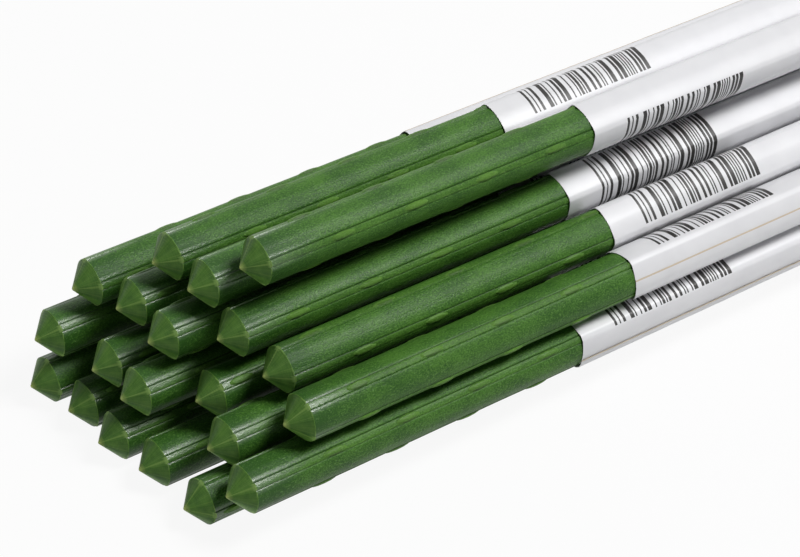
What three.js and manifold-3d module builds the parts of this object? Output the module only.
// A lying stack of twenty alike plant stakes, in millimetres.
// Each stake is a steel tube in a ribbed plastic coat, closed by a plugged-in point.
// X runs along the stakes with the points at the low end, and Z is up.
import * as THREE from "three";
import { mergeVertices } from "three/addons/utils/BufferGeometryUtils.js";
import Module from "manifold-3d";

// One stake
const STAKE_LENGTH = 609.6;
const STAKE_D = 8;
const ROUND_SIDES = 16;

// Coat
const COAT_WALL = 0.6;
const COAT_GAP = 0.15;
const RIB_COUNT = 4;
const RIB_WIDTH = 1.4;
const RIB_HEIGHT = 0.15;
const ARC_STEPS = 4;

// Closed top end of the coat
const DOME_HEIGHT = 2.4;
const DOME_STEP = 0.12;
const DOME_RINGS = 3;
const DOME_FLAT_R = 1.5;
const TOP_WALL = 1.2;
const TOP_GAP = 0.3;

// Tube
const TUBE_WALL = 0.5;

// Point
const POINT_SLOPE = 0.79;
const POINT_FLAT_R = 0.3;
const LIP_HEIGHT = 0.4;
const LIP_OUT = 0.08;
const SEAT_GAP = 0.3;
const SPIGOT_LENGTH = 12;
const SPIGOT_GAP = 0.15;

// Stack
const STAKE_GAP = 0.6;

// Colours
const COAT_COLOUR = 0x3e6e30;
const POINT_COLOUR = 0x4b6e32;
const STEEL_COLOUR = 0x9b9da0;

// Where each stake lies: row up and place across in pitches, set back along X, turn in degrees
const STACK = [
  { row: 0, place: 0, back: 0, turn: 0 },
  { row: 0, place: 1, back: 2, turn: 37 },
  { row: 0, place: 2.08, back: 2, turn: 50 },
  { row: 0, place: 3.12, back: 4, turn: 48 },
  { row: 0, place: 4.45, back: 5, turn: 0 },
  { row: 1.02, place: -0.05, back: 1.5, turn: 44 },
  { row: 0.97, place: 1.24, back: 5.5, turn: 57 },
  { row: 1, place: 2.25, back: 5.5, turn: 53 },
  { row: 1.18, place: 3.24, back: 14, turn: 38 },
  { row: 0.98, place: 4.26, back: 10.5, turn: 44 },
  { row: 0.68, place: 5.22, back: 8.5, turn: 48 },
  { row: 2.01, place: 0.11, back: 8, turn: 68 },
  { row: 2.05, place: 1.1, back: 11, turn: 53 },
  { row: 2.01, place: 2.2, back: 11, turn: 51 },
  { row: 2.34, place: 3.16, back: 18.5, turn: 61 },
  { row: 1.98, place: 4.12, back: 21.5, turn: 80 },
  { row: 1.67, place: 5.12, back: 19.5, turn: 27 },
  { row: 3.01, place: 1.36, back: 16.5, turn: 66 },
  { row: 3, place: 2.37, back: 17.5, turn: 56 },
  { row: 3.71, place: 3.1, back: 23, turn: 65 },
];

// Sizes that follow from the ones above
const STAKE_R = STAKE_D / 2;
const TUBE_R = STAKE_R - COAT_WALL - COAT_GAP;
const BORE_R = TUBE_R + COAT_GAP;
const TUBE_BORE_R = TUBE_R - TUBE_WALL;
const SPIGOT_R = TUBE_BORE_R - SPIGOT_GAP;
const LIP_R = STAKE_R + LIP_OUT;
const POINT_HEIGHT = (STAKE_R - POINT_FLAT_R) * POINT_SLOPE;
const LIP_TOP = POINT_HEIGHT + LIP_HEIGHT;
const COAT_START = LIP_TOP + SEAT_GAP;
const COAT_END = STAKE_LENGTH - DOME_HEIGHT;
const BORE_END = STAKE_LENGTH - DOME_HEIGHT - TOP_WALL;
const TUBE_END = BORE_END - TOP_GAP;
const SPIGOT_END = LIP_TOP + SPIGOT_LENGTH;
const DOME_R = STAKE_R - DOME_STEP;
const PITCH = STAKE_D + STAKE_GAP;

const wasm = await Module();
wasm.setup();

// Turned shape about Z from radius and height pairs
function turned(profile) {
  const points = profile.map(([r, z]) => new THREE.Vector2(r, z));
  const geometry = new THREE.LatheGeometry(points, ROUND_SIDES);
  return geometry.rotateX(Math.PI / 2);
}

// Closed mesh as a solid that can be joined and cut
function solid(geometry) {
  const bare = geometry.clone();
  bare.deleteAttribute("normal");
  bare.deleteAttribute("uv");
  const merged = mergeVertices(bare, 1e-4);
  const vertProperties = new Float32Array(merged.attributes.position.array);
  const triVerts = new Uint32Array(merged.index.array);
  return new wasm.Manifold(new wasm.Mesh({ numProp: 3, vertProperties, triVerts }));
}

// Joined and cut solid back as a mesh
function meshed(body) {
  const { vertProperties, triVerts } = body.getMesh();
  const geometry = new THREE.BufferGeometry();
  geometry.setAttribute("position", new THREE.BufferAttribute(vertProperties, 3));
  geometry.setIndex(new THREE.BufferAttribute(triVerts, 1));
  geometry.computeVertexNormals();
  return geometry;
}

// Outline of the coat: a round with low flat-topped ribs
function coatOutline() {
  const half = RIB_WIDTH / 2;
  const foot = Math.asin(half / STAKE_R);
  const step = (2 * Math.PI) / RIB_COUNT;
  const crest = half - RIB_HEIGHT;
  const points = [];
  for (let rib = 0; rib < RIB_COUNT; rib += 1) {
    const centre = new THREE.Vector2(0, 0);
    const middle = rib * step;
    const across = [-crest, crest];
    points.push(new THREE.Vector2(STAKE_R, 0).rotateAround(centre, middle - foot));
    for (const side of across) {
      points.push(new THREE.Vector2(STAKE_R + RIB_HEIGHT, side).rotateAround(centre, middle));
    }
    for (let arc = 0; arc < ARC_STEPS; arc += 1) {
      const angle = middle + foot + ((step - 2 * foot) * arc) / ARC_STEPS;
      points.push(new THREE.Vector2(STAKE_R, 0).rotateAround(centre, angle));
    }
  }
  return new THREE.Shape(points);
}

// Coat: ribbed bar, domed top with a flat driving face, and the bore for the tube
function coatGeometry() {
  const bar = new THREE.ExtrudeGeometry(coatOutline(), {
    depth: COAT_END - COAT_START,
    steps: 1,
    bevelEnabled: false,
  });
  bar.translate(0, 0, COAT_START);
  const dome = [
    [0, BORE_END],
    [DOME_R, BORE_END],
  ];
  for (let ring = 0; ring <= DOME_RINGS; ring += 1) {
    const angle = (ring / DOME_RINGS) * (Math.PI / 2);
    const r = DOME_FLAT_R + (DOME_R - DOME_FLAT_R) * Math.cos(angle);
    dome.push([r, COAT_END + DOME_HEIGHT * Math.sin(angle)]);
  }
  dome.push([0, STAKE_LENGTH]);
  const bore = turned([
    [0, COAT_START - COAT_WALL],
    [BORE_R, COAT_START - COAT_WALL],
    [BORE_R, BORE_END],
    [0, BORE_END],
  ]);
  return meshed(solid(bar).add(solid(turned(dome))).subtract(solid(bore)));
}

// Tube: thin-walled steel, open at both ends
function tubeGeometry() {
  return turned([
    [TUBE_BORE_R, COAT_START],
    [TUBE_R, COAT_START],
    [TUBE_R, TUBE_END],
    [TUBE_BORE_R, TUBE_END],
    [TUBE_BORE_R, COAT_START],
  ]);
}

// Point: blunt cone with a lip that meets the coat and a spigot that plugs the tube
function pointGeometry() {
  return turned([
    [0, 0],
    [POINT_FLAT_R, 0],
    [LIP_R, POINT_HEIGHT],
    [LIP_R, LIP_TOP],
    [SPIGOT_R, LIP_TOP],
    [SPIGOT_R, SPIGOT_END],
    [0, SPIGOT_END],
  ]);
}

const coatShape = coatGeometry();
const tubeShape = tubeGeometry();
const pointShape = pointGeometry();

// One stake: its three pieces on one axis
function makeStake(number) {
  const label = "stake_" + String(number).padStart(2, "0");
  const stake = new THREE.Group();
  const pieces = [
    ["tube", tubeShape, { color: STEEL_COLOUR, roughness: 0.35, metalness: 1 }],
    ["coat", coatShape, { color: COAT_COLOUR, roughness: 0.4, metalness: 0 }],
    ["point", pointShape, { color: POINT_COLOUR, roughness: 0.55, metalness: 0 }],
  ];
  for (const [piece, geometry, look] of pieces) {
    const mesh = new THREE.Mesh(geometry, new THREE.MeshStandardMaterial(look));
    mesh.name = label + "_" + piece;
    stake.add(mesh);
  }
  return stake;
}

// Stack: each stake turned on its axis and laid in its place
const stack = new THREE.Group();
STACK.forEach(({ row, place, back, turn }, index) => {
  const stake = makeStake(index + 1);
  stake.position.set(back, -place * PITCH, row * PITCH);
  stake.rotateY(Math.PI / 2);
  stake.rotateZ(THREE.MathUtils.degToRad(turn));
  stack.add(stake);
});

// Origin under the middle of the stack, on the floor
const box = new THREE.Box3().setFromObject(stack, true);
const middle = box.getCenter(new THREE.Vector3());
stack.position.set(-middle.x, -middle.y, -box.min.z);

const part = new THREE.Group();
part.add(stack);

export default part;
